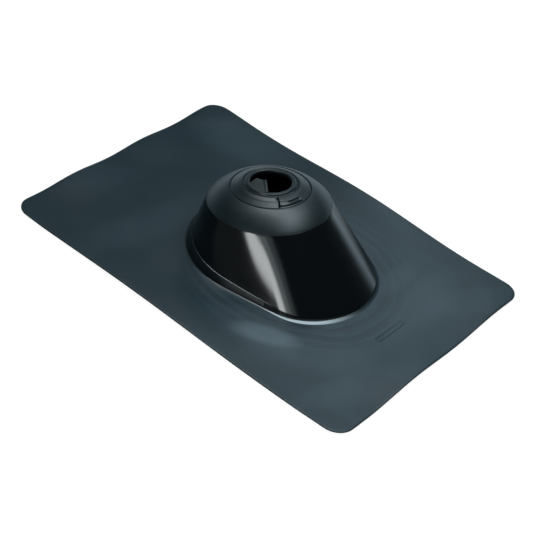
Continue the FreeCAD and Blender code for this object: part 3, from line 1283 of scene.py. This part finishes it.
@dataclass
class OuterTab:
    """The raised pull tab on the ring, with its finger slot."""

    cap: PipeCap
    inner_gap: float = 0.7 * MM
    outer_gap: float = 1.5 * MM
    lip_back: float = 3.4 * MM
    top: float = 0.7 * MM
    # Section of the lip from top to bottom: place beyond the lip, and depth
    lip: tuple[Pair, ...] = ((-0.1 * MM, 2.5 * MM), (0.0, 3.1 * MM), (1.2 * MM, 3.5 * MM))
    front: Pair = (0.2 * MM, 4.4 * MM)
    sunk: Pair = (2.4 * MM, 1.2 * MM)
    turn: Pair = (-36.0, 3.0)
    steps: int = 24
    crease: float = 35.0
    edge_round: float = 0.35 * MM
    slot_turn: Pair = (-21.0, 0.0)
    slot_reach: Pair = (-0.05 * MM, 1.3 * MM)
    slot_depth: float = 1.3 * MM

    def build(self) -> Mesh:
        """Spins the tab from its section and sinks the finger slot under its lip.

        Returns:
            The mesh.
        """
        mesh = bmesh.new()
        inner, outer = self.cap.small_tear - self.inner_gap, self.cap.large_tear - self.outer_gap
        brink = outer - self.lip_back
        foot = self.cap.ring_depth(outer) + self.cap.step_height
        corners = [(inner, self.top)] + [(brink + x, depth) for x, depth in self.lip] + [
            (outer - self.front[0], self.front[1]), (outer, foot), (outer, foot + self.sunk[1]),
            (inner, self.cap.ring_depth(inner) + self.sunk[0]),
        ]
        verts = [mesh.verts.new((x, 0.0, -depth)) for x, depth in corners]
        section = mesh.faces.new(verts)
        start, end = (math.radians(degrees) for degrees in self.turn)
        bmesh.ops.rotate(mesh, verts=verts, cent=(0, 0, 0), matrix=Matrix.Rotation(start, 3, "Z"))
        bmesh.ops.spin(mesh, geom=[section], cent=(0, 0, 0), axis=(0, 0, 1), angle=end - start,
                       steps=self.steps, use_merge=False)
        bmesh.ops.recalc_face_normals(mesh, faces=mesh.faces)
        low, high = (math.radians(degrees) for degrees in self.slot_turn)
        near, far = self.slot_reach
        for vert in mesh.verts:
            beyond = math.hypot(vert.co.x, vert.co.y) - brink
            if low < math.atan2(vert.co.y, vert.co.x) < high and near < beyond < far:
                vert.co.z -= self.slot_depth
        sharp = math.radians(self.crease)
        creases = [e for e in mesh.edges if e.is_manifold and e.calc_face_angle() > sharp]
        round_off(mesh, creases, self.edge_round, 3, held=True)
        return mesh


# Studio


@dataclass(frozen=True)
class Softbox:
    """A soft lamp that faces the part from a direction, given as azimuth and height in degrees."""

    name: str
    direction: Pair
    distance: float
    size: Pair
    roll: float
    power: float
    colour: Triple
    aim: Triple = (0.02, 0.0, 0.03)

    def build(self) -> None:
        """Hangs the lamp."""
        lamp = bpy.data.lights.new(self.name, "AREA")
        lamp.shape = "RECTANGLE"
        lamp.size, lamp.size_y = self.size
        lamp.energy = self.power
        lamp.color = self.colour
        azimuth, height = self.direction
        way = on_ring(math.cos(math.radians(height)), azimuth, math.sin(math.radians(height)))
        put_in_scene(self.name, lamp).matrix_world = (
            Matrix.Translation(way * self.distance + Vector(self.aim))
            @ (-way).to_track_quat("-Z", "Y").to_matrix().to_4x4()
            @ Matrix.Rotation(math.radians(self.roll), 4, "Z")
        )


@dataclass(frozen=True)
class Studio:
    """Pale floor, soft lamps, white surroundings and the camera."""

    floor_size: float = 3.0
    floor_drop: float = 0.2 * MM
    floor_tone: Triple = (0.12, 0.12, 0.12)
    floor_lift: float = 0.94
    floor_mirror: float = 0.7
    glow: Triple = (0.68, 0.88, 1.0)
    # The surroundings behind the part: a bright low band, a dim sky, and the rest
    away: Pair = (-0.53, 0.85)
    band: Pair = (0.22, 0.02)
    band_glow: float = 1.40
    sky_glow: float = 0.08
    dim_glow: float = 0.035
    lamps: tuple[Softbox, ...] = (
        Softbox("overhead_softbox", (42.0, 70.0), 1.5, (1.0, 0.5), 0.0, 12.0, (0.76, 0.93, 1.0)),
        Softbox("crown_softbox", (146.0, 74.0), 1.5, (0.40, 0.90), 39.0, 11.0, (0.86, 0.96, 1.0)),
        Softbox("back_softbox", (110.0, 38.0), 1.5, (0.45, 0.35), 0.0, 1.2, (0.72, 0.90, 1.0)),
        Softbox("front_strip", (-84.0, 12.0), 1.3, (0.315, 0.62), -10.0, 6.5, (0.95, 1.0, 1.0)),
        Softbox("front_wash", (-69.0, 25.0), 1.3, (0.22, 0.34), 0.0, 0.45, (0.84, 0.98, 1.0)),
        Softbox("front_fade", (-60.0, 34.0), 1.3, (0.30, 0.40), 0.0, 0.30, (0.82, 0.97, 1.0)),
    )
    camera_place: Triple = (0.57856, -0.90714, 0.85601)
    camera_turn: Triple = (50.1254, -9.3639, 40.0275)
    lens: float = 95.604
    sensor: float = 36.0

    def build(self) -> None:
        """Sets up the studio."""
        self._floor()
        self._surroundings()
        for lamp in self.lamps:
            lamp.build()
        self._camera()
        bpy.context.scene.view_settings.view_transform = "Standard"

    def _behind(self, east: Signal, north: Signal, low: float, high: float) -> Signal:
        """Share from 0 to 1 between two distances behind the part."""
        return (north * self.away[1] + east * self.away[0]).between(low, high)

    def _floor(self) -> None:
        """Lays the floor, which shows white to the camera and to reflections behind the part."""
        mesh = bmesh.new()
        bmesh.ops.create_grid(mesh, x_segments=1, y_segments=1, size=0.5 * self.floor_size)
        bmesh.ops.translate(mesh, verts=mesh.verts, vec=(0.0, 0.0, -self.floor_drop))
        material = bpy.data.materials.new("pale_floor")
        floor = put_in_scene("floor", mesh_data(mesh, "floor", material))
        bench = Bench(material)
        seen = bench.signal("ShaderNodeLightPath", {}, {}, "Is Camera Ray")
        mirrored = bench.signal("ShaderNodeLightPath", {}, {}, "Is Glossy Ray")
        east, north, _ = bench.split(bench.place)
        mirrored = mirrored * self._behind(east, north, 0.05, 0.45)
        bench.surface({
            "Base Color": self.floor_tone, "Roughness": 0.9, "Specular IOR Level": 0.0,
            "Emission Color": bench.blend(seen, self.glow, WHITE),
            "Emission Strength": seen * self.floor_lift + mirrored * self.floor_mirror,
        })

    def _surroundings(self) -> None:
        """Sets the world: white where the camera sees it, and a soft sky that is dark low down."""
        world = bpy.data.worlds.new("studio")
        bpy.context.scene.world = world
        bench = Bench(world)
        seen = bench.signal("ShaderNodeLightPath", {}, {}, "Is Camera Ray")
        east, north, up = bench.split(bench.place.node.outputs["Generated"])
        back = self._behind(east, north, 0.2, 0.9)
        low = up.absolute().between(*self.band)
        glow = back * low * self.band_glow + back * self.sky_glow + self.dim_glow
        ground = bench.add("ShaderNodeBackground", {}, {
            "Color": bench.blend(seen, self.glow, WHITE),
            "Strength": glow + (1.0 - glow) * seen,
        })
        bench.add("ShaderNodeOutputWorld", {}, {"Surface": ground.outputs[0]})

    def _camera(self) -> None:
        """Sets up the camera."""
        data = bpy.data.cameras.new("camera")
        data.lens = self.lens
        data.sensor_width = self.sensor
        camera = put_in_scene("camera", data)
        camera.location = self.camera_place
        camera.rotation_euler = tuple(math.radians(angle) for angle in self.camera_turn)
        bpy.context.scene.camera = camera


def main() -> None:
    """Builds the part and its studio."""
    logging.basicConfig(level=logging.INFO, format="%(message)s")
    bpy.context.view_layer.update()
    RoofBase().build(MouldedPlastic().make())
    PipeCap().build(MouldedRubber().make())
    Studio().build()


if __name__ == "__main__":
    main()
